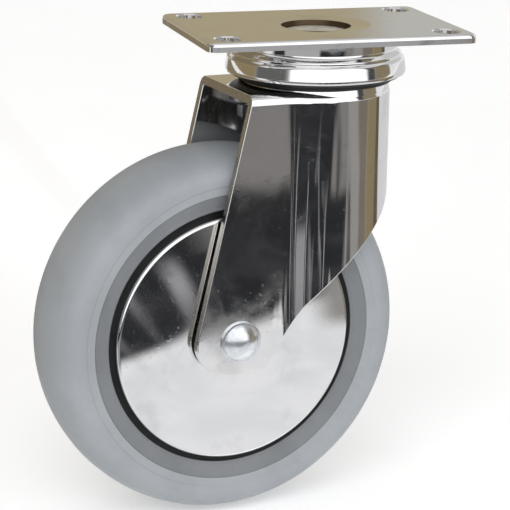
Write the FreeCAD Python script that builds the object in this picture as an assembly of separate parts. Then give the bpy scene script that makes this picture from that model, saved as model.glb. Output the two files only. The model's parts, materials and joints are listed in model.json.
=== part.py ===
import FreeCAD, Part
import math
import os

# A swivel plate caster, in millimetres. The origin is the centre of the top plate's upper face, which
# lies on the swivel axis. +Z is up, the plate's long side lies along Y, and the wheel trails towards -Y.
# The fork, the wheel and their bearings are drawn with the axle along X, then turned about Z to their
# resting place. "near" is the +X end of the axle and "far" is the -X end.

# Driving sizes
TOTAL_HEIGHT = 165.0
WHEEL_R = 63.25
TRAIL = 36.0
REST_SWIVEL_DEG = 7.9

PLATE_X = 64.0
PLATE_Y = 92.0
PLATE_T = 3.0
PLATE_CORNER_R = 3.5
PLATE_EDGE_R = 1.3
SLOT_SPACING_X = 48.0
SLOT_SPACING_Y = 75.0
SLOT_W = 8.2
SLOT_LENGTH = 10.0
SLOT_BEVEL = 0.5

# Recess for the kingpin's head
DISH_R = 18.5
DISH_DROP = 0.6
CUP_INNER_R = 11.6
CUP_WALL = 3.0
CUP_FLOOR_TOP = -4.8
CUP_FLOOR_T = 2.6
CUP_CORNER_R = 1.2

KINGPIN_R = 6.0
KINGPIN_HEAD_R = 11.4
KINGPIN_HEAD_TOP = -2.2
KINGPIN_END = -40.0
KINGPIN_NUT_ACROSS = 19.0
KINGPIN_NUT_T = 6.5
SPACER_R = 9.0

# Pressed ring under the plate and the rubber seal at its lip
CAP_WALL = 1.5
CAP_NECK_R = 27.3
CAP_WAIST_R = 26.7
CAP_WAIST = -7.4
CAP_STEP_R = 28.9
CAP_STEP_TOP = -8.7
CAP_STEP_BOTTOM = -9.5
CAP_SHOULDER_R = 30.0
CAP_SHOULDER = -10.3
CAP_BRIM_R = 30.7
CAP_BRIM = -13.8
CAP_LIP_R = 30.2
CAP_LIP = -15.6
SEAL_COLLAR_INNER_R = 26.1
SEAL_COLLAR_R = 27.9
SEAL_COLLAR_H = 2.0
SEAL_R = 29.2
SEAL_T = 1.4
WIPER_INNER_R = 25.2
WIPER_R = 26.6
WIPER_BOTTOM = -18.6

# Fork, pressed from one sheet
SHEET_T = 3.0
SHEET_EDGE_R = 0.4
FORK_HALF_WIDTH = 21.5
APRON_R = 25.5
LEG_CREASE_Y = -20.3
LEG_CREASE_R = 12.0
CROWN_TOP = -18.9
CROWN_BEND_R = 3.3
CROWN_HOLE_R = 11.5
BOSS_TOP = -16.3
BOSS_LEAN = 1.35
BOSS_LEAN_HEIGHT = 4.7
BOSS_WALL_R = 30.0
BOSS_EDGE_R = 0.8

# Fork's outline seen from the side
AXLE_TAB_BELOW = 11.0
FRONT_TOP_Y = -30.8
FRONT_LEAN = 0.23
TOE_R = 10.0
HEEL_Y = -27.3
HEEL_R = 2.5
HEEL_SLOPE = 1.5
APRON_TURN_Y = -13.3
APRON_TURN_R = 15.0
APRON_SLOPE = 0.95
APRON_CORNER_R = 30.0

# Swivel ball tracks: balls' radius, pitch radius, height of their centres and number of balls, and the rings
UPPER_BALL_R = 2.5
UPPER_PITCH_R = 18.2
UPPER_BALL_Z = -11.3
UPPER_BALL_COUNT = 20
LOWER_BALL_R = 2.5
LOWER_PITCH_R = 15.5
LOWER_BALL_Z = -27.4
LOWER_BALL_COUNT = 18
UPPER_FACE_GAP = 1.0
LOWER_FACE_GAP = 0.8
UPPER_RACE_INNER_R = 15.2
UPPER_RACE_OUTER_R = 24.1
CROWN_RACE_INNER_R = 13.0
CROWN_RACE_OUTER_R = 22.0
FORK_RACE_INNER_R = 12.0
FORK_RACE_OUTER_R = 18.6
LOWER_CUP_FLOOR_T = 1.6
LOWER_CUP_R = 20.4
LOWER_CUP_RIM_R = 19.1
LOWER_CUP_RIM_TOP = -25.6

# Wheel
TYRE_HALF_WIDTH = 17.4
TYRE_CROWN_R = 54.4
TYRE_ROUNDNESS = 2.3
COVER_R = 42.3
COVER_FACE = 17.1
COVER_T = 1.0
COVER_EDGE_R = 1.2
COVER_HOLE_R = 11.8
RIM_R = 44.4
RIM_HALF_WIDTH = 14.5
RIM_RIB_R = 49.0
RIM_RIB_HALF_WIDTH = 8.0
HUB_R = 18.0
RIM_INNER_R = 38.0
RIM_FILLET_R = 2.0
WEB_HALF_T = 2.5
BEARING_STOP_R = 10.0
SPOKE_COUNT = 8
SPOKE_T = 2.4
SPOKE_HALF_HEIGHT = 11.5

# Wheel bearings, standard 10 x 26 x 8 ball bearings
BEARING_OUTER_R = 13.0
BEARING_BORE_R = 5.0
BEARING_WIDTH = 8.0
BEARING_PITCH_R = 9.0
BEARING_BALL_R = 2.38
BEARING_BALL_COUNT = 7
BEARING_CENTRE = 10.0
OUTER_RACE_LAND_R = 11.0
INNER_RACE_LAND_R = 7.1
CAGE_INNER_R = 8.3
CAGE_OUTER_R = 9.7
CAGE_HALF_WIDTH = 3.2
SHIELD_INNER_R = 7.5
SHIELD_DEPTH = 0.3
SHIELD_T = 0.4
LEG_SPACER_R = 8.0

# Axle
AXLE_R = 4.0
AXLE_HEAD_R = 7.2
AXLE_HEAD_RIM_T = 0.8
AXLE_DOME_R = 6.2
AXLE_HEAD_H = 3.4
AXLE_NUT_ACROSS = 13.0
AXLE_NUT_H = 6.5
AXLE_WASHER_R = 8.5
AXLE_NUT_COLLAR_H = 1.9
AXLE_NUT_COLLAR_R = 5.6
AXLE_WASHER_T = 1.6
AXLE_END_BEYOND_NUT = 3.4
THREAD_CHAMFER = 0.7

RUNNING_FIT = 0.05

# Values that follow from the sizes above
WHEEL_Z = WHEEL_R - TOTAL_HEIGHT
CROWN_UNDERSIDE = CROWN_TOP - SHEET_T
BOSS_UNDERSIDE = BOSS_TOP - SHEET_T
LEG_INNER = FORK_HALF_WIDTH - SHEET_T
BEARING_FACE = BEARING_CENTRE + BEARING_WIDTH / 2
BEARING_INNER_FACE = BEARING_CENTRE - BEARING_WIDTH / 2
LOWER_CUP_BOTTOM = LOWER_BALL_Z - LOWER_BALL_R - LOWER_CUP_FLOOR_T
CUP_UNDERSIDE = CUP_FLOOR_TOP - CUP_FLOOR_T

# Length for cutters that run right through or well past a piece
CLEAR_THROUGH = 60.0

ORIGIN = FreeCAD.Vector(0, 0, 0)
Z_AXIS = FreeCAD.Vector(0, 0, 1)


# Outlines and basic solids

def plan(x, y):
    return FreeCAD.Vector(x, y, 0)


def section(radius, height):
    return FreeCAD.Vector(radius, 0, height)


def side(y, z):
    return FreeCAD.Vector(0, y, z)


def rounded_face(corners, place):
    """Face inside a closed polygon; each corner is (a, b) or (a, b, radius)."""
    count = len(corners)
    edges = []
    arcs = []
    for index, corner in enumerate(corners):
        here = place(corner[0], corner[1])
        radius = corner[2] if len(corner) > 2 else 0.0
        before = corners[index - 1]
        after = corners[(index + 1) % count]
        to_before = place(before[0], before[1]).sub(here).normalize()
        to_after = place(after[0], after[1]).sub(here).normalize()
        if radius == 0.0:
            arcs.append((here, None, here))
            continue
        half_angle = to_before.getAngle(to_after) / 2
        reach = radius / math.tan(half_angle)
        inward = to_before.add(to_after).normalize()
        middle = here.add(inward.multiply(radius / math.sin(half_angle) - radius))
        arcs.append((here.add(to_before.multiply(reach)), middle, here.add(to_after.multiply(reach))))
    for index, (start, middle, end) in enumerate(arcs):
        if middle is not None:
            edges.append(Part.Arc(start, middle, end).toShape())
        next_start = arcs[(index + 1) % count][0]
        if end.distanceToPoint(next_start) > 1e-6:
            edges.append(Part.LineSegment(end, next_start).toShape())
    return Part.Face(Part.Wire(edges))


def turned(corners):
    """Solid of revolution about Z from (radius, height) corners."""
    return rounded_face(corners, section).revolve(ORIGIN, Z_AXIS, 360)


def tube(inner_r, outer_r, low, high, edge_r=0.0):
    """Plain ring; edge_r rounds its outer edges."""
    return turned([(inner_r, low), (outer_r, low, edge_r), (outer_r, high, edge_r), (inner_r, high)])


def torus(pitch_r, radius, height):
    return Part.makeTorus(pitch_r, radius, FreeCAD.Vector(0, 0, height), Z_AXIS)


def drill(radius):
    """Cutter for a hole along Z, centred on the origin."""
    return Part.makeCylinder(radius, 2 * CLEAR_THROUGH, FreeCAD.Vector(0, 0, -CLEAR_THROUGH))


def ball_ring(pitch_r, ball_r, height, count):
    balls = []
    for index in range(count):
        angle = 2 * math.pi * index / count
        centre = FreeCAD.Vector(pitch_r * math.cos(angle), pitch_r * math.sin(angle), height)
        balls.append(Part.makeSphere(ball_r, centre))
    return Part.makeCompound(balls)


def hexagon(across_flats, low, high):
    corner_r = across_flats / math.sqrt(3)
    corners = []
    for index in range(6):
        angle = math.radians(60 * index)
        corners.append((corner_r * math.cos(angle), corner_r * math.sin(angle)))
    prism = rounded_face(corners, plan).extrude(FreeCAD.Vector(0, 0, high - low))
    prism.translate(FreeCAD.Vector(0, 0, low))
    chamfer = (corner_r - across_flats / 2) * 0.6
    bounds = turned([
        (0, low),
        (corner_r - chamfer, low),
        (corner_r, low + chamfer),
        (corner_r, high - chamfer),
        (corner_r - chamfer, high),
        (0, high),
    ])
    return prism.common(bounds)


def at_rest(shape):
    """Turns a shape of the fork about the swivel axis to the caster's resting place."""
    turned_shape = shape.copy()
    turned_shape.rotate(ORIGIN, Z_AXIS, REST_SWIVEL_DEG)
    return turned_shape


def on_axle(shape):
    """Moves a shape drawn about Z to the wheel's axle, with its +Z end at the near side."""
    moved = shape.copy()
    moved.rotate(ORIGIN, FreeCAD.Vector(0, 1, 0), 90)
    moved.translate(FreeCAD.Vector(0, -TRAIL, WHEEL_Z))
    return at_rest(moved)


def mirrored(shape):
    return shape.mirror(ORIGIN, Z_AXIS)


# Pieces held still by the mounting surface

def top_plate():
    half_x = PLATE_X / 2
    half_y = PLATE_Y / 2
    sheet = rounded_face([
        (half_x, half_y, PLATE_CORNER_R),
        (-half_x, half_y, PLATE_CORNER_R),
        (-half_x, -half_y, PLATE_CORNER_R),
        (half_x, -half_y, PLATE_CORNER_R),
    ], plan).extrude(FreeCAD.Vector(0, 0, -PLATE_T))
    rim = [edge for edge in sheet.Edges if edge.BoundBox.ZMin > -0.01]
    sheet = sheet.makeFillet(PLATE_EDGE_R, rim)
    cup_outer_r = CUP_INNER_R + CUP_WALL
    drawn_cup = turned([
        (0, -PLATE_T),
        (cup_outer_r, -PLATE_T),
        (cup_outer_r, CUP_UNDERSIDE, CUP_CORNER_R),
        (0, CUP_UNDERSIDE),
    ])
    hollow = turned([
        (0, 1),
        (DISH_R, 1),
        (DISH_R, 0),
        (CUP_INNER_R, -DISH_DROP),
        (CUP_INNER_R, CUP_FLOOR_TOP),
        (0, CUP_FLOOR_TOP),
    ])
    plate = sheet.fuse(drawn_cup).cut(hollow).cut(drill(KINGPIN_R + RUNNING_FIT))
    for x_sign in (1, -1):
        for y_sign in (1, -1):
            centre = FreeCAD.Vector(x_sign * SLOT_SPACING_X / 2, y_sign * SLOT_SPACING_Y / 2, 0)
            plate = plate.cut(slot_cutter(centre))
    return plate.removeSplitter()


def slot_cutter(centre):
    """Slot along X right through the plate, with a bevel at its upper edge."""
    overrun = 1.0
    through = slot_face(SLOT_W, SLOT_LENGTH)
    through.translate(FreeCAD.Vector(0, 0, -PLATE_T - overrun))
    through = through.extrude(FreeCAD.Vector(0, 0, PLATE_T + 2 * overrun))
    lower_wire = slot_face(SLOT_W, SLOT_LENGTH).OuterWire
    lower_wire.translate(FreeCAD.Vector(0, 0, -SLOT_BEVEL))
    upper_wire = slot_face(SLOT_W + 4 * SLOT_BEVEL, SLOT_LENGTH + 4 * SLOT_BEVEL).OuterWire
    upper_wire.translate(FreeCAD.Vector(0, 0, SLOT_BEVEL))
    bevel = Part.makeLoft([lower_wire, upper_wire], True)
    cutter = through.fuse(bevel)
    cutter.translate(centre)
    return cutter


def slot_face(width, length):
    straight = (length - width) / 2
    radius = width / 2
    edges = [
        Part.LineSegment(plan(-straight, -radius), plan(straight, -radius)).toShape(),
        Part.Arc(plan(straight, -radius), plan(straight + radius, 0), plan(straight, radius)).toShape(),
        Part.LineSegment(plan(straight, radius), plan(-straight, radius)).toShape(),
        Part.Arc(plan(-straight, radius), plan(-straight - radius, 0), plan(-straight, -radius)).toShape(),
    ]
    return Part.Face(Part.Wire(edges))


def swivel_cap():
    """Pressed ring under the plate: a short waisted neck, a small step and a rounded skirt."""
    outer = [
        (CAP_NECK_R, -PLATE_T),
        (CAP_WAIST_R, CAP_WAIST, 1.5),
        (CAP_STEP_R, CAP_STEP_TOP, 0.5),
        (CAP_STEP_R, CAP_STEP_BOTTOM, 0.3),
        (CAP_SHOULDER_R, CAP_SHOULDER, 1.6),
        (CAP_BRIM_R, CAP_BRIM, 2.5),
        (CAP_LIP_R, CAP_LIP),
    ]
    inner = [
        (CAP_LIP_R - CAP_WALL, CAP_LIP),
        (CAP_BRIM_R - CAP_WALL, CAP_BRIM, 1.0),
        (CAP_SHOULDER_R - CAP_WALL, CAP_SHOULDER - 0.9, 1.0),
        (CAP_STEP_R - CAP_WALL, CAP_STEP_BOTTOM - 0.8, 0.5),
        (CAP_WAIST_R - CAP_WALL, CAP_WAIST - CAP_WALL, 0.5),
        (CAP_NECK_R - CAP_WALL, -PLATE_T),
    ]
    return turned(outer + inner)


def dust_seal():
    """Rubber ring under the cap's lip: a collar holds it inside the cap, a wiper reaches to the crown."""
    collar_top = CAP_LIP + SEAL_COLLAR_H
    band_bottom = CAP_LIP - SEAL_T
    return turned([
        (WIPER_INNER_R, WIPER_BOTTOM, 0.2),
        (WIPER_R, WIPER_BOTTOM, 0.4),
        (WIPER_R, band_bottom, 0.4),
        (SEAL_R, band_bottom, 0.4),
        (SEAL_R, CAP_LIP),
        (SEAL_COLLAR_R, CAP_LIP),
        (SEAL_COLLAR_R, collar_top),
        (SEAL_COLLAR_INNER_R, collar_top),
        (SEAL_COLLAR_INNER_R, CAP_LIP),
        (WIPER_INNER_R, CAP_LIP),
    ])


def upper_race():
    face = UPPER_BALL_Z + UPPER_FACE_GAP
    ring = tube(UPPER_RACE_INNER_R, UPPER_RACE_OUTER_R, face, -PLATE_T)
    return ring.cut(torus(UPPER_PITCH_R, UPPER_BALL_R + RUNNING_FIT, UPPER_BALL_Z))


def kingpin():
    return turned([
        (0, KINGPIN_HEAD_TOP),
        (KINGPIN_HEAD_R, KINGPIN_HEAD_TOP, 0.6),
        (KINGPIN_HEAD_R, CUP_FLOOR_TOP),
        (KINGPIN_R, CUP_FLOOR_TOP),
        (KINGPIN_R, KINGPIN_END + 1),
        (KINGPIN_R - 1, KINGPIN_END),
        (0, KINGPIN_END),
    ])


def swivel_spacer():
    """Tube round the kingpin between the plate's cup and the lower ball track."""
    return tube(KINGPIN_R + RUNNING_FIT, SPACER_R, LOWER_BALL_Z - LOWER_FACE_GAP, CUP_UNDERSIDE)


def lower_cup():
    """Dished ball track on the kingpin, with a rim that keeps the grease in."""
    track_face = LOWER_BALL_Z - LOWER_FACE_GAP
    dish = turned([
        (KINGPIN_R + RUNNING_FIT, LOWER_CUP_BOTTOM),
        (LOWER_CUP_R, LOWER_CUP_BOTTOM, 1.2),
        (LOWER_CUP_R, LOWER_CUP_RIM_TOP, 0.3),
        (LOWER_CUP_RIM_R, LOWER_CUP_RIM_TOP, 0.3),
        (LOWER_CUP_RIM_R, track_face),
        (KINGPIN_R + RUNNING_FIT, track_face),
    ])
    return dish.cut(torus(LOWER_PITCH_R, LOWER_BALL_R + RUNNING_FIT, LOWER_BALL_Z))


def kingpin_nut():
    nut = hexagon(KINGPIN_NUT_ACROSS, LOWER_CUP_BOTTOM - KINGPIN_NUT_T, LOWER_CUP_BOTTOM)
    return nut.cut(drill(KINGPIN_R + RUNNING_FIT))


# Fork body

def fork_prism(half_width, apron_r, crease_r, top, bend_r):
    """Upright prism: two flat sides that turn through a crease into a rounded back.

    Each side of the back is a shallow arc from the crease to the half cylinder about the swivel axis.
    """
    front = -80.0
    bottom = -140.0
    crease_x = half_width + crease_r
    offset = crease_x - apron_r
    side_r = (offset ** 2 + LEG_CREASE_Y ** 2 - crease_r ** 2) / (2 * (crease_r - offset))
    side_x = apron_r - side_r
    lean = math.atan2(LEG_CREASE_Y, crease_x - side_x)
    touch = (side_x + side_r * math.cos(lean), side_r * math.sin(lean))
    side_middle = (side_x + side_r * math.cos(lean / 2), side_r * math.sin(lean / 2))
    crease_angle = math.pi + lean / 2
    crease_middle = (
        crease_x + crease_r * math.cos(crease_angle),
        LEG_CREASE_Y + crease_r * math.sin(crease_angle),
    )
    near_side = [(half_width, LEG_CREASE_Y), crease_middle, touch, side_middle, (apron_r, 0)]
    near = [plan(x, y) for x, y in near_side]
    far = [plan(-x, y) for x, y in near_side]
    edges = [
        Part.LineSegment(plan(half_width, front), near[0]).toShape(),
        Part.Arc(near[0], near[1], near[2]).toShape(),
        Part.Arc(near[2], near[3], near[4]).toShape(),
        Part.Arc(near[4], plan(0, apron_r), far[4]).toShape(),
        Part.Arc(far[4], far[3], far[2]).toShape(),
        Part.Arc(far[2], far[1], far[0]).toShape(),
        Part.LineSegment(far[0], plan(-half_width, front)).toShape(),
        Part.LineSegment(plan(-half_width, front), plan(half_width, front)).toShape(),
    ]
    face = Part.Face(Part.Wire(edges))
    face.translate(FreeCAD.Vector(0, 0, bottom))
    prism = face.extrude(FreeCAD.Vector(0, 0, top - bottom))
    shoulder = []
    for edge in prism.Edges:
        box = edge.BoundBox
        if box.ZMin > top - 0.01 and box.YMax > front + 1:
            shoulder.append(edge)
    return prism.makeFillet(bend_r, shoulder)


def crown_boss(radius, top):
    """Round boss raised from the crown to carry the upper race; its wall leans in towards the top."""
    return turned([
        (0, top - CLEAR_THROUGH),
        (radius, top - CLEAR_THROUGH),
        (radius, top - BOSS_LEAN_HEIGHT, BOSS_WALL_R),
        (radius - BOSS_LEAN, top, BOSS_EDGE_R),
        (0, top),
    ])


def sheared_edges(shell, profile, skins):
    """Edges where the sheet's two skins meet the outline that it was cut to."""
    found = []
    for edge in shell.Edges:
        middle = Part.Vertex(edge.valueAt((edge.FirstParameter + edge.LastParameter) / 2))
        on_outline = profile.Shells[0].distToShape(middle)[0] < 1e-4
        on_skin = any(skin.Shells[0].distToShape(middle)[0] < 1e-4 for skin in skins)
        if on_outline and on_skin:
            found.append(edge)
    return found


def fork():
    """One pressed sheet: flat crown, two tapering legs and a rounded apron at the back."""
    outer = fork_prism(FORK_HALF_WIDTH, APRON_R, LEG_CREASE_R, CROWN_TOP, CROWN_BEND_R)
    inner = fork_prism(
        LEG_INNER, APRON_R - SHEET_T, LEG_CREASE_R + SHEET_T, CROWN_UNDERSIDE, CROWN_BEND_R - SHEET_T
    )
    outer = outer.fuse(crown_boss(APRON_R, BOSS_TOP)).removeSplitter()
    inner = inner.fuse(crown_boss(APRON_R - SHEET_T, BOSS_UNDERSIDE)).removeSplitter()
    tab_bottom = WHEEL_Z - AXLE_TAB_BELOW
    outline_top = BOSS_TOP + 5.0
    front_bottom_y = FRONT_TOP_Y + FRONT_LEAN * (tab_bottom - outline_top)
    turn_z = tab_bottom + HEEL_SLOPE * (APRON_TURN_Y - HEEL_Y)
    back_y = APRON_R + 0.1
    back_corner_z = turn_z + APRON_SLOPE * (back_y - APRON_TURN_Y)
    outline = rounded_face([
        (FRONT_TOP_Y, outline_top),
        (front_bottom_y, tab_bottom + 1.2, TOE_R),
        (HEEL_Y, tab_bottom, HEEL_R),
        (APRON_TURN_Y, turn_z, APRON_TURN_R),
        (back_y, back_corner_z, APRON_CORNER_R),
        (back_y, outline_top),
    ], side)
    outline.translate(FreeCAD.Vector(-CLEAR_THROUGH, 0, 0))
    profile = outline.extrude(FreeCAD.Vector(2 * CLEAR_THROUGH, 0, 0))
    shell = outer.cut(inner).common(profile)
    shell = shell.makeFillet(SHEET_EDGE_R, sheared_edges(shell, profile, (outer, inner)))
    crown_hole = Part.makeCylinder(CROWN_HOLE_R, CLEAR_THROUGH, FreeCAD.Vector(0, 0, CROWN_UNDERSIDE - 5))
    neck_half = AXLE_R + RUNNING_FIT
    neck_start = FreeCAD.Vector(-neck_half, -neck_half, BEARING_CENTRE)
    neck_hole = Part.makeBox(2 * neck_half, 2 * neck_half, CLEAR_THROUGH, neck_start)
    far_hole = Part.makeCylinder(neck_half, CLEAR_THROUGH, FreeCAD.Vector(0, 0, -CLEAR_THROUGH))
    shell = at_rest(shell.cut(crown_hole))
    return shell.cut(on_axle(neck_hole)).cut(on_axle(far_hole)).removeSplitter()


def crown_race():
    face = UPPER_BALL_Z - UPPER_FACE_GAP
    ring = tube(CROWN_RACE_INNER_R, CROWN_RACE_OUTER_R, BOSS_TOP, face)
    return ring.cut(torus(UPPER_PITCH_R, UPPER_BALL_R + RUNNING_FIT, UPPER_BALL_Z))


def fork_lower_race():
    face = LOWER_BALL_Z + LOWER_FACE_GAP
    ring = tube(FORK_RACE_INNER_R, FORK_RACE_OUTER_R, face, BOSS_UNDERSIDE)
    return ring.cut(torus(LOWER_PITCH_R, LOWER_BALL_R + RUNNING_FIT, LOWER_BALL_Z))


def axle_bolt():
    """Round-headed bolt: a dome over a thin rim, a square neck in the near leg and a plain shank."""
    rise = AXLE_HEAD_H - AXLE_HEAD_RIM_T
    dome_r = (AXLE_DOME_R ** 2 + rise ** 2) / (2 * rise)
    seat = FORK_HALF_WIDTH
    dome_base = FreeCAD.Vector(0, 0, seat + AXLE_HEAD_RIM_T)
    dome = Part.makeSphere(dome_r, FreeCAD.Vector(0, 0, seat + AXLE_HEAD_H - dome_r))
    dome = dome.common(Part.makeCylinder(AXLE_DOME_R, rise + 1, dome_base))
    rim = Part.makeCylinder(AXLE_HEAD_R, AXLE_HEAD_RIM_T, FreeCAD.Vector(0, 0, seat))
    neck = Part.makeBox(2 * AXLE_R, 2 * AXLE_R, SHEET_T, FreeCAD.Vector(-AXLE_R, -AXLE_R, LEG_INNER))
    end = -FORK_HALF_WIDTH - AXLE_WASHER_T - AXLE_NUT_H - AXLE_END_BEYOND_NUT
    shank = turned([
        (0, end),
        (AXLE_R - THREAD_CHAMFER, end),
        (AXLE_R, end + THREAD_CHAMFER),
        (AXLE_R, seat),
        (0, seat),
    ])
    return rim.fuse(dome).fuse(neck).fuse(shank).removeSplitter()


def axle_sleeve():
    return tube(AXLE_R + RUNNING_FIT, BEARING_BORE_R, -LEG_INNER, LEG_INNER)


def leg_spacer():
    """Washer that keeps a wheel bearing off the leg."""
    return tube(BEARING_BORE_R + RUNNING_FIT, LEG_SPACER_R, BEARING_FACE, LEG_INNER, 0.4)


def axle_washer():
    outer_face = -FORK_HALF_WIDTH
    return tube(AXLE_R + RUNNING_FIT, AXLE_WASHER_R, outer_face - AXLE_WASHER_T, outer_face, 0.3)


def axle_nut():
    """Hexagon nut with a round locking collar at its outer end."""
    seat = -FORK_HALF_WIDTH - AXLE_WASHER_T
    hex_end = seat - AXLE_NUT_H
    nut = hexagon(AXLE_NUT_ACROSS, hex_end, seat)
    collar = turned([
        (0, hex_end - AXLE_NUT_COLLAR_H),
        (AXLE_NUT_COLLAR_R, hex_end - AXLE_NUT_COLLAR_H, 0.9),
        (AXLE_NUT_COLLAR_R, seat - 1),
        (0, seat - 1),
    ])
    return nut.fuse(collar).cut(drill(AXLE_R + RUNNING_FIT)).removeSplitter()


# Wheel bearings, drawn at the near end

def outer_race():
    ring = tube(OUTER_RACE_LAND_R, BEARING_OUTER_R, BEARING_INNER_FACE, BEARING_FACE, 0.3)
    return ring.cut(torus(BEARING_PITCH_R, BEARING_BALL_R + RUNNING_FIT, BEARING_CENTRE))


def inner_race():
    ring = tube(BEARING_BORE_R + RUNNING_FIT / 2, INNER_RACE_LAND_R, BEARING_INNER_FACE, BEARING_FACE)
    return ring.cut(torus(BEARING_PITCH_R, BEARING_BALL_R + RUNNING_FIT, BEARING_CENTRE))


def bearing_balls():
    return ball_ring(BEARING_PITCH_R, BEARING_BALL_R, BEARING_CENTRE, BEARING_BALL_COUNT)


def bearing_cage():
    """Ring with a round pocket drilled through it for each ball."""
    low = BEARING_CENTRE - CAGE_HALF_WIDTH
    high = BEARING_CENTRE + CAGE_HALF_WIDTH
    cage = tube(CAGE_INNER_R, CAGE_OUTER_R, low, high)
    centre = FreeCAD.Vector(0, 0, BEARING_CENTRE)
    for index in range(BEARING_BALL_COUNT):
        angle = 2 * math.pi * index / BEARING_BALL_COUNT
        outward = FreeCAD.Vector(math.cos(angle), math.sin(angle), 0)
        cage = cage.cut(Part.makeCylinder(BEARING_BALL_R + RUNNING_FIT, BEARING_OUTER_R, centre, outward))
    return cage


def bearing_shield():
    """Thin disc across the bearing's outer face, fixed in the outer race."""
    outer_side = BEARING_FACE - SHIELD_DEPTH
    return tube(SHIELD_INNER_R, OUTER_RACE_LAND_R, outer_side - SHIELD_T, outer_side)


# Wheel

def tyre_shoulder():
    """Points over the tread from one sidewall to the other, on a flattened round section."""
    points = []
    steps = 28
    depth = WHEEL_R - TYRE_CROWN_R
    for index in range(steps + 1):
        angle = math.pi * index / steps
        across = math.copysign(abs(math.cos(angle)) ** (2 / TYRE_ROUNDNESS), math.cos(angle))
        out = math.sin(angle) ** (2 / TYRE_ROUNDNESS)
        points.append(section(TYRE_CROWN_R + depth * out, TYRE_HALF_WIDTH * across))
    return points


def tyre():
    """Rubber tyre moulded over the rim's centre rib, with a moulded line round each sidewall."""
    tread = Part.BSplineCurve()
    tread.interpolate(tyre_shoulder())
    wall = [
        (TYRE_CROWN_R, TYRE_HALF_WIDTH),
        (52.9, 17.2),
        (52.4, 16.9),
        (49.8, 16.5),
        (45.1, 15.0),
        (RIM_R, RIM_HALF_WIDTH + 0.2),
        (RIM_R, RIM_RIB_HALF_WIDTH),
        (RIM_RIB_R, RIM_RIB_HALF_WIDTH),
    ]
    near_side = [section(r, z) for r, z in wall]
    far_side = [section(r, -z) for r, z in wall]
    path = near_side + far_side[::-1]
    edges = [tread.toShape()]
    for start, end in zip(path, path[1:]):
        edges.append(Part.LineSegment(start, end).toShape())
    wire = Part.Wire(Part.__sortEdges__(edges))
    return Part.Face(wire).revolve(ORIGIN, Z_AXIS, 360)


def wheel_core():
    """Moulded centre: hub with a shoulder for each bearing, web, stiffening spokes and a rim with a rib."""
    hub_end = COVER_FACE - COVER_T
    half = [
        (RIM_RIB_R, RIM_RIB_HALF_WIDTH),
        (RIM_R, RIM_RIB_HALF_WIDTH),
        (RIM_R, RIM_HALF_WIDTH),
        (RIM_INNER_R, RIM_HALF_WIDTH),
        (RIM_INNER_R, WEB_HALF_T, RIM_FILLET_R),
        (HUB_R, WEB_HALF_T, RIM_FILLET_R),
        (HUB_R, hub_end),
        (BEARING_OUTER_R, hub_end),
        (BEARING_OUTER_R, BEARING_INNER_FACE),
        (BEARING_STOP_R, BEARING_INNER_FACE),
    ]
    other_half = [(corner[0], -corner[1]) + corner[2:] for corner in half]
    core = turned(half + other_half[::-1])
    length = RIM_INNER_R - HUB_R + 1
    for index in range(SPOKE_COUNT):
        start = FreeCAD.Vector(HUB_R - 0.5, -SPOKE_T / 2, -SPOKE_HALF_HEIGHT)
        spoke = Part.makeBox(length, SPOKE_T, 2 * SPOKE_HALF_HEIGHT, start)
        spoke.rotate(ORIGIN, Z_AXIS, 360 * index / SPOKE_COUNT)
        core = core.fuse(spoke)
    return core.removeSplitter()


def hub_cover():
    """Plated disc over the near face of the wheel, with its edge turned down onto the rim."""
    inside = COVER_FACE - COVER_T
    return turned([
        (COVER_HOLE_R, inside),
        (COVER_R - COVER_T, inside, 0.5),
        (COVER_R - COVER_T, RIM_HALF_WIDTH),
        (COVER_R, RIM_HALF_WIDTH),
        (COVER_R, COVER_FACE, COVER_EDGE_R),
        (COVER_HOLE_R, COVER_FACE, 0.4),
    ])


def main():
    os.makedirs("parts", exist_ok=True)
    nodes = {
        "top_plate": top_plate(),
        "swivel_cap": swivel_cap(),
        "dust_seal": dust_seal(),
        "upper_race": upper_race(),
        "kingpin": kingpin(),
        "swivel_spacer": swivel_spacer(),
        "lower_cup": lower_cup(),
        "kingpin_nut": kingpin_nut(),
        "upper_balls": ball_ring(UPPER_PITCH_R, UPPER_BALL_R, UPPER_BALL_Z, UPPER_BALL_COUNT),
        "lower_balls": ball_ring(LOWER_PITCH_R, LOWER_BALL_R, LOWER_BALL_Z, LOWER_BALL_COUNT),
        "fork": fork(),
        "crown_race": at_rest(crown_race()),
        "fork_lower_race": at_rest(fork_lower_race()),
        "axle_bolt": on_axle(axle_bolt()),
        "axle_sleeve": on_axle(axle_sleeve()),
        "axle_washer": on_axle(axle_washer()),
        "axle_nut": on_axle(axle_nut()),
        "tyre": on_axle(tyre()),
        "wheel_core": on_axle(wheel_core()),
    }
    paired = {
        "spacer": leg_spacer(),
        "outer_race": outer_race(),
        "inner_race": inner_race(),
        "balls": bearing_balls(),
        "cage": bearing_cage(),
        "shield": bearing_shield(),
        "cover": hub_cover(),
    }
    for name, shape in paired.items():
        nodes["near_" + name] = on_axle(shape)
        nodes["far_" + name] = on_axle(mirrored(shape))
    for name, shape in nodes.items():
        if not shape.isValid():
            print("not valid:", name)
        shape.exportStep("parts/" + name + ".step")
        print(name, len(shape.Solids), round(shape.Volume, 1))


main()
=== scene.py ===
import json
import math

import bmesh
import bpy
from mathutils import Matrix, Vector


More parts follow.
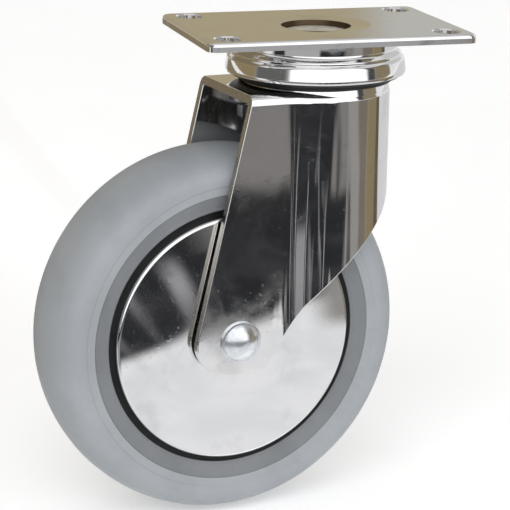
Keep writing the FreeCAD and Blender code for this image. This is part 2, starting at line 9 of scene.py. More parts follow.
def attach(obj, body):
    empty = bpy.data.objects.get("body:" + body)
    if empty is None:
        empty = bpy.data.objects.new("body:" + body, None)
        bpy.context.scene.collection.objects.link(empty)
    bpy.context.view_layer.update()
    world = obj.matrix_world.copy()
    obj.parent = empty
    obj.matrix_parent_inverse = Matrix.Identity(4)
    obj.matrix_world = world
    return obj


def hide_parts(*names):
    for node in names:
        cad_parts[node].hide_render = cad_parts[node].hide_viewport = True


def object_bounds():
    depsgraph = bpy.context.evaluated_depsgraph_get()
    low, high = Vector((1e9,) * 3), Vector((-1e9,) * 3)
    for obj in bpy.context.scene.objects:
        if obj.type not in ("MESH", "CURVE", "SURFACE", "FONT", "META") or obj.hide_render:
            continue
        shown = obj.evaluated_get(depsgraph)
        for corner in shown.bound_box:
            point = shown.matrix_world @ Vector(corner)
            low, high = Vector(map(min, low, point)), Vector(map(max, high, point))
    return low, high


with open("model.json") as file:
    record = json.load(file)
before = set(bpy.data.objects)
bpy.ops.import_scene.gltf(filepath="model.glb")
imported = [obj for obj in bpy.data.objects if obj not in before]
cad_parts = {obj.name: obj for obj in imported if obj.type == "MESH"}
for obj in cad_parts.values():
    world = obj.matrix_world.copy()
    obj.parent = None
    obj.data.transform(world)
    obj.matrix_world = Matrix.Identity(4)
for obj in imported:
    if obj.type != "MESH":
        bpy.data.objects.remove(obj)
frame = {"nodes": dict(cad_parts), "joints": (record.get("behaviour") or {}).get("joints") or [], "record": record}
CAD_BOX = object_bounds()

# Swivel plate caster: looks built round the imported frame. Metres, row frame: origin at the centre of the
# plate's top face, +Z up, plate's long side along Y, wheel trailing towards -Y, near end of the axle at +X.
# Profiles and the sizes that belong to them are in millimetres, and are turned into metres with MM.

MM = 0.001
NODES = frame["nodes"]
JOINTS = {joint["name"]: joint for joint in frame["joints"]}
AXLE_CENTRE = Vector(JOINTS["wheel_spin"]["pos_m"])
AXLE_DIRECTION = Vector(JOINTS["wheel_spin"]["axis"]).normalized()
SWIVEL_ANGLE = math.atan2(AXLE_DIRECTION.y, AXLE_DIRECTION.x)
FLOOR_Z = CAD_BOX[0].z
TO_DEGREES = 180.0 / math.pi

AXLE_FRAME = (
    Matrix.Translation(AXLE_CENTRE)
    @ Matrix.Rotation(SWIVEL_ANGLE, 4, "Z")
    @ Matrix.Rotation(math.pi / 2, 4, "Y")
)
FAR_FRAME = AXLE_FRAME @ Matrix.Scale(-1, 4, (0, 0, 1))
SWIVEL_FRAME = Matrix.Identity(4)

WHEEL_SEGMENTS = 288
CAP_SEGMENTS = 256
SEAL_SEGMENTS = 192
SCREW_SEGMENTS = 72
ON_AXIS = 1e-7


def add_object(name, data):
    made = bpy.data.objects.new(name, data)
    bpy.context.scene.collection.objects.link(made)
    return made


# Camera

def make_camera():
    azimuth = math.radians(73.16)
    elevation = math.radians(15.66)
    roll = math.radians(0.85)
    distance = 0.6865
    target = Vector((0.0029, -0.0211, -0.0787))
    back = Vector((
        math.sin(azimuth) * math.cos(elevation),
        -math.cos(azimuth) * math.cos(elevation),
        math.sin(elevation),
    ))
    data = bpy.data.cameras.new("camera")
    data.sensor_width = 36.0
    data.lens = 141.36
    camera = add_object("camera", data)
    camera.matrix_world = (
        Matrix.Translation(target + back * distance)
        @ Matrix.Rotation(azimuth, 4, "Z")
        @ Matrix.Rotation(math.pi / 2 - elevation, 4, "X")
        @ Matrix.Rotation(roll, 4, "Z")
    )
    bpy.context.scene.camera = camera


# Shader helpers

class Shader:
    """Short names for making and joining the nodes of one material or world."""

    def __init__(self, tree):
        self.tree = tree
        self.tree.nodes.clear()

    def node(self, kind, **settings):
        made = self.tree.nodes.new(kind)
        for name, value in settings.items():
            setattr(made, name, value)
        return made

    def put(self, socket, value):
        if isinstance(value, bpy.types.NodeSocket):
            self.tree.links.new(value, socket)
        else:
            socket.default_value = value

    def math(self, operation, *values):
        made = self.node("ShaderNodeMath", operation=operation)
        for socket, value in zip(made.inputs, values):
            self.put(socket, value)
        return made.outputs[0]

    def span(self, value, low, high, to_low=0.0, to_high=1.0, smooth=False):
        made = self.node("ShaderNodeMapRange", interpolation_type="SMOOTHSTEP" if smooth else "LINEAR")
        for socket, number in zip(made.inputs, (value, low, high, to_low, to_high)):
            self.put(socket, number)
        return made.outputs[0]

    def mix(self, share, first, second):
        made = self.node("ShaderNodeMix", data_type="RGBA")
        self.put(made.inputs[0], share)
        self.put(made.inputs[6], first)
        self.put(made.inputs[7], second)
        return made.outputs[2]

    def noise(self, vector, scale, detail=3.0, roughness=0.5, distortion=0.0):
        made = self.node("ShaderNodeTexNoise")
        self.put(made.inputs["Vector"], vector)
        made.inputs["Scale"].default_value = scale
        made.inputs["Detail"].default_value = detail
        made.inputs["Roughness"].default_value = roughness
        made.inputs["Distortion"].default_value = distortion
        return made.outputs["Fac"]

    def stretch(self, vector, scale):
        made = self.node("ShaderNodeMapping")
        self.put(made.inputs["Vector"], vector)
        made.inputs["Scale"].default_value = scale
        return made.outputs["Vector"]

    def bump(self, height, strength, distance, normal=None):
        made = self.node("ShaderNodeBump")
        made.inputs["Strength"].default_value = strength
        made.inputs["Distance"].default_value = distance
        self.put(made.inputs["Height"], height)
        if normal is not None:
            self.put(made.inputs["Normal"], normal)
        return made.outputs["Normal"]


def split_axes(shader, vector):
    split = shader.node("ShaderNodeSeparateXYZ")
    shader.put(split.inputs[0], vector)
    return split.outputs


def radius_of(shader, axes):
    across = shader.math("MULTIPLY", axes["Y"], axes["Y"])
    return shader.math("SQRT", shader.math("MULTIPLY_ADD", axes["X"], axes["X"], across))


def bearing_of(shader, axes):
    angle = shader.math("ARCTAN2", axes["Y"], axes["X"])
    return shader.math("MULTIPLY", angle, TO_DEGREES)


def shaded(tint, share):
    return tuple(share * channel for channel in tint[:3]) + (1.0,)


def blend_input(shader, surface, name, share, tint):
    """Lays a colour over what already feeds a colour input."""
    before = surface.inputs[name].links[0].from_socket
    shader.put(surface.inputs[name], shader.mix(share, before, tint))


def add_to_input(shader, surface, name, share, amount):
    before = surface.inputs[name].links[0].from_socket
    shader.put(surface.inputs[name], shader.math("MULTIPLY_ADD", share, amount, before))


def new_material(name):
    material = bpy.data.materials.new(name)
    material.use_nodes = True
    shader = Shader(material.node_tree)
    surface = shader.node("ShaderNodeBsdfPrincipled")
    output = shader.node("ShaderNodeOutputMaterial")
    shader.put(output.inputs["Surface"], surface.outputs[0])
    place = shader.node("ShaderNodeTexCoord").outputs["Object"]
    return material, shader, surface, place


# Materials

RECESS_R = 0.0116
FRONT_EDGE_TILT = math.atan(0.23)
# The fork's draw lines begin between these places, and weaken towards its back to the share left there.
LINES_FROM_Y = (-0.0215, -0.0165)
LINES_FROM_Z = (-0.0230, -0.0480)
LINES_FADE_Y = (0.002, 0.012)
LINES_LEFT_AT_BACK = 0.15
LINE_DEPTH = 0.0010

CHROME_TINT = (0.86, 0.855, 0.85, 1)
POLISH = 0.045
SHEARED_STEEL = (0.42, 0.39, 0.34, 1.0)
# Dark brown painted shade for the walls of the kingpin's recess.
RECESS_PAINTED_SHADE = (0.13, 0.095, 0.055, 1.0)


def chrome_material(name, tint, smudge, ripple, pits=0.0, film=0.0):
    """Bright plating on pressed steel: slow ripples, scratches, smudges, small pits and a dull film."""
    material, shader, surface, place = new_material(name)
    handled = shader.noise(place, scale=34.0, detail=5.0, roughness=0.65, distortion=0.8)
    filmed = shader.span(handled, 0.40, 0.72, to_low=1.0, to_high=1.0 - film, smooth=True)
    shader.put(surface.inputs["Metallic"], filmed)
    clouds = shader.noise(place, scale=55.0, detail=4.0, roughness=0.55, distortion=0.4)
    stains = shader.span(clouds, 0.52, 0.72, smooth=True)
    specks = shader.span(shader.noise(place, scale=900.0, detail=2.0), 0.62, 0.74, smooth=True)
    stained = shader.mix(shader.math("MULTIPLY", stains, 0.5), tint, shaded(tint, 0.80))
    shader.put(surface.inputs["Base Color"], stained)
    haze = shader.math("MULTIPLY_ADD", stains, smudge, POLISH)
    haze = shader.math("MULTIPLY_ADD", specks, 0.12, haze)
    shader.put(surface.inputs["Roughness"], haze)
    waves = shader.noise(place, scale=38.0, detail=1.5, roughness=0.4)
    normal = shader.bump(waves, strength=ripple, distance=0.0006)
    drawn_out = shader.stretch(place, (60.0, 900.0, 900.0))
    scratches = shader.noise(drawn_out, scale=3.0, detail=2.0, roughness=0.6)
    normal = shader.bump(scratches, strength=0.03, distance=0.00005, normal=normal)
    if pits:
        dimples = shader.span(shader.noise(place, scale=420.0, detail=2.0), 0.63, 0.72, smooth=True)
        normal = shader.bump(dimples, strength=pits, distance=0.00012, normal=normal)
    shader.put(surface.inputs["Normal"], normal)
    return material, shader, surface, place, normal


def pressed_chrome_material():
    """The fork's plating: vertical draw lines over its rounded part and a duller sheared edge along its
    front, the side that the wheel trails to."""
    material, shader, surface, place, normal = chrome_material(
        "fork_chrome", CHROME_TINT, smudge=0.09, ripple=0.10, pits=0.02, film=0.03,
    )
    axes = split_axes(shader, place)
    round_part = shader.span(axes["Y"], *LINES_FROM_Y, smooth=True)
    below_crown = shader.span(axes["Z"], *LINES_FROM_Z)
    fading = shader.span(axes["Y"], *LINES_FADE_Y, 1.0, LINES_LEFT_AT_BACK, smooth=True)
    share = shader.math("MULTIPLY", shader.math("MULTIPLY", round_part, below_crown), fading)
    upright = shader.stretch(place, (1.0, 1.0, 0.06))
    broad = shader.noise(upright, scale=170.0, detail=0.0, roughness=0.4, distortion=0.3)
    upright = shader.stretch(place, (1.0, 1.0, 0.05))
    fine = shader.noise(upright, scale=480.0, detail=0.0, roughness=0.5)
    lines = shader.math("SUBTRACT", shader.math("MULTIPLY_ADD", fine, 0.10, broad), 0.55)
    lines = shader.math("MULTIPLY", lines, share)
    relief = shader.bump(lines, strength=0.8, distance=LINE_DEPTH, normal=normal)
    shader.put(surface.inputs["Normal"], relief)
    facing = shader.node("ShaderNodeVectorMath", operation="DOT_PRODUCT")
    shader.put(facing.inputs[0], shader.node("ShaderNodeTexCoord").outputs["Normal"])
    facing.inputs[1].default_value = (
        math.sin(SWIVEL_ANGLE) * math.cos(FRONT_EDGE_TILT),
        -math.cos(SWIVEL_ANGLE) * math.cos(FRONT_EDGE_TILT),
        math.sin(FRONT_EDGE_TILT),
    )
    sheared = shader.span(facing.outputs["Value"], 0.90, 0.97, smooth=True)
    blend_input(shader, surface, "Base Color", sheared, SHEARED_STEEL)
    add_to_input(shader, surface, "Roughness", sheared, 0.22)
    return material


def plate_material():
    """The plate's plating, with painted shade in dark brown on the walls of the recess for the kingpin."""
    material, shader, surface, place, _ = chrome_material(
        "plate_chrome", CHROME_TINT, smudge=0.10, ripple=0.06,
    )
    radius = radius_of(shader, split_axes(shader, place))
    # Painted shade: the recess walls are darkened to dark brown and made rougher.
    inside = shader.span(radius, RECESS_R + 0.0006, RECESS_R + 0.0001, smooth=True)
    blend_input(shader, surface, "Base Color", inside, RECESS_PAINTED_SHADE)
    add_to_input(shader, surface, "Roughness", inside, 0.32)
    return material


def satin_steel_material(name, tint, roughness):
    """Zinc-plated or ground steel with a fine grain."""
    material, shader, surface, place = new_material(name)
    surface.inputs["Metallic"].default_value = 1.0
    patches = shader.noise(place, scale=160.0, detail=4.0, roughness=0.6)
    mottled = shader.mix(shader.span(patches, 0.45, 0.7), tint, shaded(tint, 0.72))
    shader.put(surface.inputs["Base Color"], mottled)
    grain = shader.noise(place, scale=2600.0, detail=2.0)
    haze = shader.span(patches, 0.3, 0.8, to_low=roughness, to_high=roughness + 0.14)
    shader.put(surface.inputs["Roughness"], haze)
    shader.put(surface.inputs["Normal"], shader.bump(grain, strength=0.12, distance=0.00005))
    return material


def rubber_material(name, tint, darker, dust):
    """Moulded rubber: soft mottling, fine grain and a little dust."""
    material, shader, surface, place = new_material(name)
    mottle = shader.noise(place, scale=42.0, detail=5.0, roughness=0.6)
    colour = shader.mix(shader.span(mottle, 0.35, 0.7, smooth=True), tint, darker)
    speckle = shader.span(shader.noise(place, scale=1500.0, detail=2.0), 0.66, 0.76)
    colour = shader.mix(shader.math("MULTIPLY", speckle, 0.35), colour, dust)
    shader.put(surface.inputs["Base Color"], colour)
    shader.put(surface.inputs["Roughness"], shader.span(mottle, 0.3, 0.7, to_low=0.42, to_high=0.55))
    surface.inputs["Specular IOR Level"].default_value = 0.4
    grain = shader.noise(place, scale=2200.0, detail=3.0, roughness=0.6)
    normal = shader.bump(grain, strength=0.15, distance=0.00006)
    shader.put(surface.inputs["Normal"], shader.bump(mottle, strength=0.10, distance=0.0004, normal=normal))
    return material


def plastic_material(name, tint, lighter, roughness, sheen=0.5):
    """Moulded plastic with a fine spark-eroded grain."""
    material, shader, surface, place = new_material(name)
    surface.inputs["Specular IOR Level"].default_value = sheen
    mottle = shader.noise(place, scale=120.0, detail=4.0, roughness=0.6)
    shader.put(surface.inputs["Base Color"], shader.mix(shader.span(mottle, 0.4, 0.75), tint, lighter))
    haze = shader.span(mottle, 0.3, 0.7, to_low=roughness, to_high=roughness + 0.15)
    shader.put(surface.inputs["Roughness"], haze)
    grain = shader.noise(place, scale=3000.0, detail=2.0)
    shader.put(surface.inputs["Normal"], shader.bump(grain, strength=0.10, distance=0.00005))
    return material


def floor_material():
    material, shader, surface, place = new_material("pale_floor")
    cloud = shader.noise(place, scale=6.0, detail=4.0, roughness=0.5)
    shader.put(surface.inputs["Base Color"], shader.mix(cloud, (0.90, 0.90, 0.89, 1), (0.94, 0.94, 0.94, 1)))
    surface.inputs["Roughness"].default_value = 0.75
    surface.inputs["Emission Color"].default_value = (1.0, 1.0, 1.0, 1.0)
    surface.inputs["Emission Strength"].default_value = 0.30
    return material


CHROME = chrome_material("chrome", CHROME_TINT, smudge=0.10, ripple=0.10)[0]
CHROME_DISC = chrome_material(
    "chrome_disc", (0.87, 0.87, 0.87, 1), smudge=0.05, ripple=0.025, pits=0.02, film=0.02,
)[0]
FORK_CHROME = pressed_chrome_material()
PLATE_CHROME = plate_material()
RIVET_STEEL = satin_steel_material("rivet_steel", (0.98, 0.95, 0.88, 1), roughness=0.42)
BRIGHT_STEEL = satin_steel_material("bright_steel", (0.86, 0.89, 0.92, 1), roughness=0.19)
ZINC = satin_steel_material("zinc_steel", (0.70, 0.73, 0.76, 1), roughness=0.24)
BEARING_STEEL = satin_steel_material("bearing_steel", (0.55, 0.55, 0.56, 1), roughness=0.18)
GREY_RUBBER = rubber_material(
    "grey_rubber", tint=(0.335, 0.355, 0.375, 1), darker=(0.295, 0.315, 0.335, 1), dust=(0.5, 0.51, 0.52, 1),
)
SEAL_RUBBER = rubber_material(
    "seal_rubber", tint=(0.012, 0.012, 0.013, 1), darker=(0.02, 0.02, 0.02, 1), dust=(0.08, 0.08, 0.08, 1),
)
BAND_RUBBER = rubber_material(
    "band_rubber", tint=(0.20, 0.21, 0.22, 1), darker=(0.17, 0.18, 0.19, 1), dust=(0.3, 0.31, 0.31, 1),
)
BLACK_PLASTIC = plastic_material(
    "black_plastic", (0.008, 0.009, 0.009, 1), (0.014, 0.015, 0.015, 1), roughness=0.42, sheen=0.2,
)
NYLON = plastic_material("cage_plastic", (0.62, 0.58, 0.46, 1), (0.70, 0.66, 0.55, 1), roughness=0.4)

SLOT_MATERIALS = {
    "chrome_plate": CHROME,
    "zinc_steel": ZINC,
    "bearing_steel": BEARING_STEEL,
    "grey_rubber": GREY_RUBBER,
    "seal_rubber": SEAL_RUBBER,
    "black_plastic": BLACK_PLASTIC,
    "cage_plastic": NYLON,
}
NODE_SLOTS = {part["node"]: part["material_slot"] for part in frame["record"]["subparts"]}
OWN_MATERIALS = {"fork": FORK_CHROME, "top_plate": PLATE_CHROME}


def dress_cad_nodes():
    for name, node in NODES.items():
        node.data.materials.clear()
        node.data.materials.append(OWN_MATERIALS.get(name, SLOT_MATERIALS[NODE_SLOTS[name]]))


# Mesh helpers

def rounded(corners, steps=6):
    """Points along a polyline whose corners are (radius, height) or (radius, height, rounding)."""
    points = []
    last = len(corners) - 1
    for index, corner in enumerate(corners):
        here = Vector(corner[:2])
        rounding = corner[2] if len(corner) > 2 else 0.0
        if rounding == 0.0 or index in (0, last):
            points.append(here)
            continue
        to_before = (Vector(corners[index - 1][:2]) - here).normalized()
        to_after = (Vector(corners[index + 1][:2]) - here).normalized()
        half_angle = to_before.angle(to_after) / 2
        reach = rounding / math.tan(half_angle)
        start = here + to_before * reach
        centre = here + (to_before + to_after).normalized() * (rounding / math.sin(half_angle))
        first = start - centre
        second = here + to_after * reach - centre
        turn = first.angle_signed(second)
        for step in range(steps + 1):
            angle = -turn * step / steps
            points.append(centre + Matrix.Rotation(angle, 2) @ first)
    return points


def new_piece(name, vertices, faces, material, body, replaced, sharp_angle=35.0):
    mesh = bpy.data.meshes.new(name)
    mesh.from_pydata(vertices, [], faces)
    mesh.validate()
    solid = bmesh.new()
    solid.from_mesh(mesh)
    bmesh.ops.recalc_face_normals(solid, faces=solid.faces)
    solid.to_mesh(mesh)
    solid.free()
    mesh.shade_smooth()
    mesh.set_sharp_from_angle(angle=math.radians(sharp_angle))
    mesh.materials.append(material)
    piece = add_object(name, mesh)
    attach(piece, body)
    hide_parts(*replaced)
    return piece


def lathe(profile, place, segments, radius_at=None):
    """Vertices and faces of a closed profile turned about local Z; points on the axis close the ends."""
    vertices = []
    faces = []
    rings = []
    for radius, height in profile:
        if radius < ON_AXIS:
            rings.append([len(vertices)])
            vertices.append(place @ Vector((0, 0, height)))
            continue
        ring = []
        for index in range(segments):
            angle = 2 * math.pi * index / segments
            reach = radius_at(radius, height, angle) if radius_at else radius
            ring.append(len(vertices))
            vertices.append(place @ Vector((reach * math.cos(angle), reach * math.sin(angle), height)))
        rings.append(ring)
    closed = len(rings[0]) > 1
    pairs = list(zip(rings, rings[1:]))
    if closed:
        pairs.append((rings[-1], rings[0]))
    for lower, upper in pairs:
        for index in range(segments):
            following = (index + 1) % segments
            if len(lower) == 1:
                face = (lower[0], upper[following], upper[index])
            elif len(upper) == 1:
                face = (lower[index], lower[following], upper[0])
            else:
                face = (lower[index], lower[following], upper[following], upper[index])
            faces.append(face)
    return vertices, faces


def lathe_piece(name, corners, place, material, body, replaced, segments):
    vertices, faces = lathe(pairs_of(rounded(corners)), place, segments)
    return new_piece(name, vertices, faces, material, body, replaced)


def pairs_of(points):
    return [(point.x, point.y) for point in points]


def in_metres(corners):
    return [tuple(value * MM for value in corner) for corner in corners]


def thread(pitch, depth, major, start, end):
    """Radius of a screw thread at a height and angle, fading in and out at its two ends."""
    root_flat = 1.25

    def radius_at(radius, height, angle):
        if radius < major * 0.99 or not start <= height <= end:
            return radius
        phase = (height / pitch - angle / (2 * math.pi)) % 1.0
        groove = min(1.0, root_flat * (1.0 - abs(2.0 * phase - 1.0)))
        fade = min(1.0, (height - start) / pitch, (end - height) / pitch)
        return radius - depth * groove * fade
    return radius_at


def even_rings(radius, first, last, count):
    """Evenly spaced points along a straight stretch of a profile."""
    return [(radius, first + (last - first) * index / count) for index in range(count + 1)]


# Wheel

WHEEL_R = 63.25
TYRE_HALF_WIDTH = 17.4
TYRE_CROWN_R = 54.4
TYRE_ROUNDNESS = 2.3
SEAM_HEIGHT = 0.12
SEAM_HALF_WIDTH = 0.45
RIM_R = 44.4
BAND_R = 49.7


def tyre_profile():
    """Section of the tyre: tread with its mould seam, sidewall step, sunk band and inner edge."""
    tread = []
    count = 96
    depth = WHEEL_R - SEAM_HEIGHT - TYRE_CROWN_R
    for index in range(count + 1):
        angle = math.pi * index / count
        across = math.copysign(abs(math.cos(angle)) ** (2 / TYRE_ROUNDNESS), math.cos(angle))
        out = math.sin(angle) ** (2 / TYRE_ROUNDNESS)
        height = TYRE_HALF_WIDTH * across
        seam = SEAM_HEIGHT * max(0.0, 1.0 - abs(height) / SEAM_HALF_WIDTH)
        tread.append((TYRE_CROWN_R + depth * out + seam, height))
    wall = [
        (TYRE_CROWN_R, TYRE_HALF_WIDTH),
        (53.0, 17.25, 0.6),
        (52.5, 16.95, 0.5),
        (49.9, 16.75, 0.35),
        (49.5, 16.3, 0.3),
        (45.4, 15.1, 0.3),
        (45.2, 15.25, 0.15),
        (RIM_R, 14.95, 0.15),
        (RIM_R, 8.0),
        (49.0, 8.0),
    ]
    tread = in_metres(tread[1:-1])
    side = in_metres(pairs_of(rounded(wall, 4)))
    return tread + [(radius, -height) for radius, height in side] + side[::-1]


def make_tyre():
    """The tyre in grey rubber, with everything inside BAND_R in the darker rubber."""
    vertices, faces = lathe(tyre_profile(), AXLE_FRAME, WHEEL_SEGMENTS)
    tyre = new_piece(
        "tyre_rubber", vertices, faces, GREY_RUBBER, "wheel", ["tyre"], sharp_angle=50.0,
    )
    tyre.data.materials.append(BAND_RUBBER)
    to_axle = AXLE_FRAME.inverted()
    for polygon in tyre.data.polygons:
        local = to_axle @ polygon.center
        if math.hypot(local.x, local.y) < BAND_R * MM:
            polygon.material_index = 1


def make_covers():
    corners = in_metres([
        (11.8, 16.1),
        (41.3, 16.1, 0.4),
        (41.3, 14.5),
        (42.3, 14.5),
        (42.3, 17.1, 1.2),
        (12.6, 17.1, 0.35),
        (11.8, 16.75, 0.25),
    ])
    for side, place in (("near", AXLE_FRAME), ("far", FAR_FRAME)):
        lathe_piece(
            side + "_disc", corners, place, CHROME_DISC, "wheel", [side + "_cover"],
            WHEEL_SEGMENTS,
        )


# Swivel head

def make_cap():
    corners = in_metres([
        (27.0, -3.0),
        (27.0, -7.4, 1.5),
        (28.9, -8.7, 0.5),
        (28.9, -9.5, 0.3),
        (30.0, -10.3, 1.6),
        (30.65, -14.7, 1.6),
        (30.3, -15.6, 0.2),
        (28.7, -15.6, 0.2),
        (29.2, -13.8, 1.0),
        (28.5, -11.2, 1.0),
        (27.4, -10.3, 0.5),
        (25.2, -8.9, 0.5),
        (25.8, -3.0),
    ])
    lathe_piece(
        "cap_ring", corners, SWIVEL_FRAME, CHROME, "mount", ["swivel_cap"], CAP_SEGMENTS,
    )


def make_seal():
    corners = in_metres([
        (25.2, -18.3, 0.15),
        (25.7, -18.4, 0.2),
        (26.2, -18.0, 0.4),
        (26.4, -16.6, 0.4),
        (28.8, -16.5, 0.35),
        (29.2, -16.2, 0.25),
        (29.2, -15.65, 0.1),
        (27.9, -15.65),
        (27.9, -13.6),
        (26.1, -13.6),
        (26.1, -15.65),
        (25.2, -15.65),
    ])
    lathe_piece(
        "seal_ring", corners, SWIVEL_FRAME, SEAL_RUBBER, "mount", ["dust_seal"], SEAL_SEGMENTS,
    )


def make_kingpin():
    shank_r = 6.0
    end = -40.0
    chamfer = 1.0
    head = pairs_of(rounded(in_metres([
        (0.0, -2.2),
        (5.0, -2.22),
        (10.6, -2.3, 0.5),
        (11.4, -2.9, 0.5),
        (11.4, -4.8),
        (shank_r, -4.8),
        (shank_r, -30.0),
    ])))
    shank = even_rings(shank_r * MM, -30.0 * MM, (end + chamfer) * MM, 54)[1:]
    profile = head + shank + [((shank_r - chamfer) * MM, end * MM), (0.0, end * MM)]
    groove = thread(1.25 * MM, 0.7 * MM, shank_r * MM, -39.3 * MM, -31.0 * MM)
    vertices, faces = lathe(profile, SWIVEL_FRAME, SCREW_SEGMENTS, groove)
    new_piece("kingpin_rivet", vertices, faces, RIVET_STEEL, "mount", ["kingpin"])


# Axle

LEG_FACE = 21.5
WASHER_T = 1.6
NUT_T = 6.5
BOLT_PAST_NUT = 3.4


def domed_head(seat):
    """Points of a domed bolt head with a thin rim, from the tip of the dome to the shank."""
    dome_r = 6.2
    rim_r = 7.2
    rim_t = 0.8
    rise = 2.6
    count = 18
    ball = (dome_r ** 2 + rise ** 2) / (2 * rise)
    full = math.asin(dome_r / ball)
    dome = []
    for index in range(count + 1):
        angle = full * index / count
        dome.append((ball * math.sin(angle), seat + rim_t + rise - ball * (1 - math.cos(angle))))
    rim = pairs_of(rounded([
        dome[-1],
        (dome_r + 0.15, seat + rim_t, 0.1),
        (rim_r, seat + rim_t - 0.05, 0.3),
        (rim_r, seat, 0.1),
        (4.0, seat),
    ]))
    return dome + rim[1:]


def make_axle_bolt():
    shank_r = 4.0
    chamfer = 0.7
    plain_end = -20.0
    end = -LEG_FACE - WASHER_T - NUT_T - BOLT_PAST_NUT
    thread_start = (end + 0.5) * MM
    plain = even_rings(shank_r * MM, LEG_FACE * MM, plain_end * MM, 4)[1:]
    threaded = even_rings(shank_r * MM, plain_end * MM, (end + chamfer) * MM, 96)[1:]
    profile = in_metres(domed_head(LEG_FACE)) + plain + threaded
    profile += [((shank_r - chamfer) * MM, end * MM), (0.0, end * MM)]
    groove = thread(1.25 * MM, 0.62 * MM, shank_r * MM, thread_start, -21.0 * MM)
    vertices, faces = lathe(profile, AXLE_FRAME, SCREW_SEGMENTS, groove)
    new_piece("axle_dome_bolt", vertices, faces, BRIGHT_STEEL, "swivel_fork", ["axle_bolt"])


# Surroundings

# A patch is two bearings and the width of their soft edges, two reaches and the width of theirs, and a
# colour. Bearings are in degrees from +X towards +Y: the photo looks from about -17, with +Y on its right.
# Reach is degrees above the horizon for the world. For the card it is metres from the swivel axis.
# Later patches lie over earlier ones.

OPEN_AIR = (0.42, 0.42, 0.42, 1.0)
BACKDROP = (0.93, 0.93, 0.93, 1.0)
WORLD_PATCHES = [
    # Overhead
    (-180, 180, 1, 62, 120, 8, (0.70, 0.70, 0.72)),
    # Left and behind, then left
    (-162, -98, 10, -30, 30, 12, (0.27, 0.215, 0.12)),
    (-98, -54, 8, -30, 30, 12, (0.13, 0.13, 0.125)),
    # The bright side, behind the camera
    (-50, 52, 6, -8, 58, 6, (1.35, 1.35, 1.38)),
    # Right
    (52, 64, 5, -25, 35, 8, (0.07, 0.07, 0.07)),
    (64, 92, 6, -25, 30, 8, (0.25, 0.205, 0.135)),
    # Right and behind, then straight behind
    (92, 152, 3, -25, 30, 8, (0.82, 0.82, 0.84)),
    (152, 160, 2, -25, 40, 8, (0.49, 0.485, 0.45)),
    (160, 205, 2, -25, 40, 8, (0.405, 0.35, 0.235)),
]

CARD_INNER_R = 0.05
CARD_OUTER_R = 3.0
CARD_LAST_BEARING = 179.0
CARD_SEGMENTS = 96
CARD_ABOVE_FLOOR = 0.0003
CARD_WHITE = (0.88, 0.88, 0.89, 1)
CARD_WHITE_BLOTCH = (0.76, 0.77, 0.79, 1)
# The card's near-black part begins at a straight edge, square to this bearing.
STRAIGHT_EDGE_BEARING = math.radians(-12.0)
# For this patch reach is metres past the swivel axis along that bearing.
PAST_STRAIGHT_EDGE = [
    (-80, 62, 8, 0.185, 2.0, 0.02, (0.024, 0.025, 0.027)),
]
CARD_PATCHES = [
    # Left and behind
    (-168, -96, 10, 0.16, 4.00, 0.06, (0.24, 0.195, 0.125)),
    # Greys over the near-black part
    (-62, -13, 4, 0.18, 0.41, 0.05, (0.30, 0.30, 0.31)),
    (-62, -12, 4, 0.74, 4.00, 0.04, (0.42, 0.42, 0.43)),
    # Narrow streaks
    (-10, -6.5, 2, 0.24, 0.56, 0.22, (0.34, 0.34, 0.35)),
    (-1.5, 1, 2, 0.22, 0.38, 0.16, (0.24, 0.24, 0.25)),
    (7.5, 9.5, 2, 0.26, 0.66, 0.24, (0.22, 0.22, 0.23)),
    (16, 19, 2, 0.24, 0.46, 0.20, (0.32, 0.32, 0.33)),
    # A band on the camera's side
    (-62, 60, 6, 0.84, 1.20, 0.06, (0.40, 0.40, 0.41)),
    # Right, turning from grey to brown
    (24, 62, 8, 0.475, 4.00, 0.04, (0.215, 0.205, 0.20)),
    (36, 54, 8, 0.22, 4.00, 0.05, (0.30, 0.29, 0.28)),
    (52, 72, 6, 0.22, 4.00, 0.05, (0.19, 0.165, 0.135)),
    (70, 97, 6, 0.22, 4.00, 0.05, (0.25, 0.205, 0.12)),
    (90, 98, 3, 0.22, 4.00, 0.05, (0.12, 0.10, 0.07)),
    # Right and behind
    (98, 152, 3, 0.22, 4.00, 0.05, (0.69, 0.69, 0.70)),
]


def paint(shader, bearing, reach, colour, patches):
    """Lays the patches over a colour, first to last."""
    for low, high, bearing_edge, near, far, reach_edge, tint in patches:
        middle = (low + high) / 2
        half = (high - low) / 2
        away = shader.math("WRAP", shader.math("SUBTRACT", bearing, middle), 180.0, -180.0)
        away = shader.math("ABSOLUTE", away)
        across = shader.span(away, half + bearing_edge / 2, half - bearing_edge / 2, smooth=True)
        above = shader.span(reach, near - reach_edge / 2, near + reach_edge / 2, smooth=True)
        below = shader.span(reach, far + reach_edge / 2, far - reach_edge / 2, smooth=True)
        share = shader.math("MULTIPLY", across, shader.math("MULTIPLY", above, below))
        colour = shader.mix(share, colour, tint + (1.0,))
    return colour


def make_floor():
    size = 6.0
    mesh = bpy.data.meshes.new("floor")
    corners = [(-size, -size, FLOOR_Z), (size, -size, FLOOR_Z), (size, size, FLOOR_Z), (-size, size, FLOOR_Z)]
    mesh.from_pydata(corners, [], [(0, 1, 2, 3)])
    mesh.materials.append(floor_material())
    floor = add_object("floor", mesh)


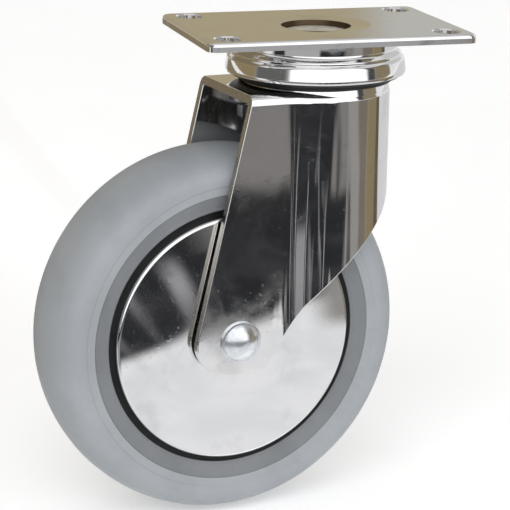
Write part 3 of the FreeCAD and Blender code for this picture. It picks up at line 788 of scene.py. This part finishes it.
def card_material():
    material = bpy.data.materials.new("dark_card")
    material.use_nodes = True
    shader = Shader(material.node_tree)
    place = shader.node("ShaderNodeTexCoord").outputs["Object"]
    axes = split_axes(shader, place)
    bearing = bearing_of(shader, axes)
    along_y = shader.math("MULTIPLY", axes["Y"], math.sin(STRAIGHT_EDGE_BEARING))
    past_edge = shader.math("MULTIPLY_ADD", axes["X"], math.cos(STRAIGHT_EDGE_BEARING), along_y)
    blotches = shader.noise(place, scale=22.0, detail=3.0, roughness=0.55, distortion=0.5)
    colour = shader.mix(shader.span(blotches, 0.3, 0.7, smooth=True), CARD_WHITE, CARD_WHITE_BLOTCH)
    colour = paint(shader, bearing, past_edge, colour, PAST_STRAIGHT_EDGE)
    colour = paint(shader, bearing, radius_of(shader, axes), colour, CARD_PATCHES)
    glow = shader.node("ShaderNodeEmission")
    output = shader.node("ShaderNodeOutputMaterial")
    shader.put(glow.inputs["Color"], colour)
    shader.put(output.inputs["Surface"], glow.outputs[0])
    return material


def make_dark_card():
    """A painted card lying on the floor all round the caster, seen only in reflections."""
    vertices = []
    for index in range(CARD_SEGMENTS + 1):
        angle = math.radians(CARD_LAST_BEARING * (2 * index / CARD_SEGMENTS - 1))
        for radius in (CARD_INNER_R, CARD_OUTER_R):
            across = radius * math.sin(angle)
            vertices.append((radius * math.cos(angle), across, FLOOR_Z + CARD_ABOVE_FLOOR))
    faces = [(2 * i, 2 * i + 1, 2 * i + 3, 2 * i + 2) for i in range(CARD_SEGMENTS)]
    mesh = bpy.data.meshes.new("dark_card")
    mesh.from_pydata(vertices, [], faces)
    mesh.materials.append(card_material())
    card = add_object("dark_card", mesh)
    card.visible_camera = False
    card.visible_diffuse = False
    card.visible_shadow = False
    card.visible_transmission = False


def make_world():
    """The camera sees a plain pale backdrop, and everything else sees the painted patches."""
    world = bpy.data.worlds.new("studio")
    bpy.context.scene.world = world
    world.use_nodes = True
    shader = Shader(world.node_tree)
    axes = split_axes(shader, shader.node("ShaderNodeTexCoord").outputs["Generated"])
    height = shader.math("MULTIPLY", shader.math("ARCSINE", axes["Z"]), TO_DEGREES)
    painted = shader.node("ShaderNodeBackground")
    colour = paint(shader, bearing_of(shader, axes), height, OPEN_AIR, WORLD_PATCHES)
    shader.put(painted.inputs["Color"], colour)
    plain = shader.node("ShaderNodeBackground")
    shader.put(plain.inputs["Color"], BACKDROP)
    chosen = shader.node("ShaderNodeMixShader")
    shader.put(chosen.inputs[0], shader.node("ShaderNodeLightPath").outputs["Is Camera Ray"])
    shader.put(chosen.inputs[1], painted.outputs[0])
    shader.put(chosen.inputs[2], plain.outputs[0])
    output = shader.node("ShaderNodeOutputWorld")
    shader.put(output.inputs["Surface"], chosen.outputs[0])


def make_key_light():
    """One soft lamp high on the camera's side. The plating doesn't reflect it."""
    place = Vector((1.2, -0.7, 1.3))
    data = bpy.data.lights.new("key", "AREA")
    data.energy = 9.0
    data.size = 1.2
    light = add_object("key", data)
    light.location = place
    light.rotation_mode = "QUATERNION"
    light.rotation_quaternion = place.to_track_quat("Z", "Y")
    light.visible_glossy = False


bpy.context.scene.view_settings.view_transform = "Standard"
make_camera()
make_floor()
make_dark_card()
make_world()
make_key_light()
dress_cad_nodes()
make_tyre()
make_covers()
make_cap()
make_seal()
make_kingpin()
make_axle_bolt()
